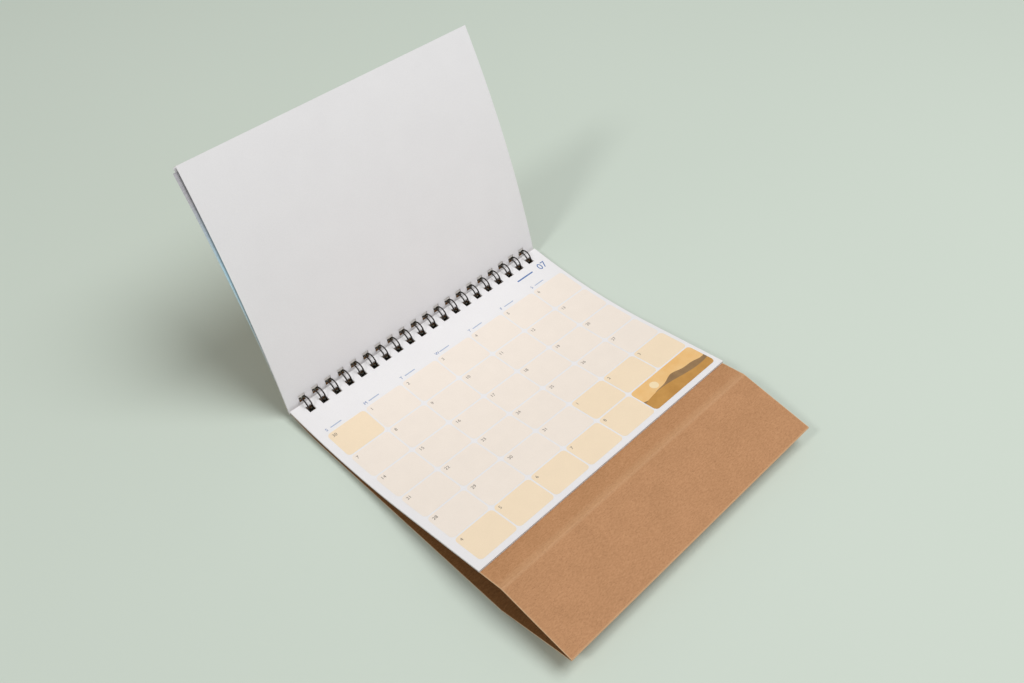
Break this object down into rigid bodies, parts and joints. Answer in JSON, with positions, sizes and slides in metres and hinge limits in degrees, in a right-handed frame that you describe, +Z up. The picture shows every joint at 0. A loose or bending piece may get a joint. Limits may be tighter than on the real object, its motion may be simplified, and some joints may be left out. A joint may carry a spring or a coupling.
{
  "type": "desk calendar",
  "caption": "Wire-bound desk calendar lying half folded on its scored card stand, with a month page on top and the used leaves turned back on a twin-loop binding.",
  "frame": {"origin": "centre of the flat underside of the stand's back panel, on the table", "axes": "+X along the spine to the reader's right, +Y away from the reader, +Z up"},
  "size_m": [0.18, 0.2549, 0.1257],
  "materials": {
    "kraft_card": "uncoated brown kraft card with fine fibres",
    "printed_paper": "smooth matt white paper printed with pale month cells",
    "plain_paper": "smooth matt white paper",
    "coated_wire": "satin dark coating on round steel wire"
  },
  "bodies": {
    "stand": {"folded_stand": "kraft_card", "page_block": "printed_paper", "wire_binding": "coated_wire"},
    "turned_leaves": {"turned_leaf": "plain_paper", "turned_block": "plain_paper"}
  },
  "joints": [
    {"name": "leaf_turn", "type": "hinge", "parent": "stand", "child": "turned_leaves", "pos_m": [0, 0.08753, 0.0046], "axis": [1, 0, 0], "range_deg": [-62, 110]}
  ]
}
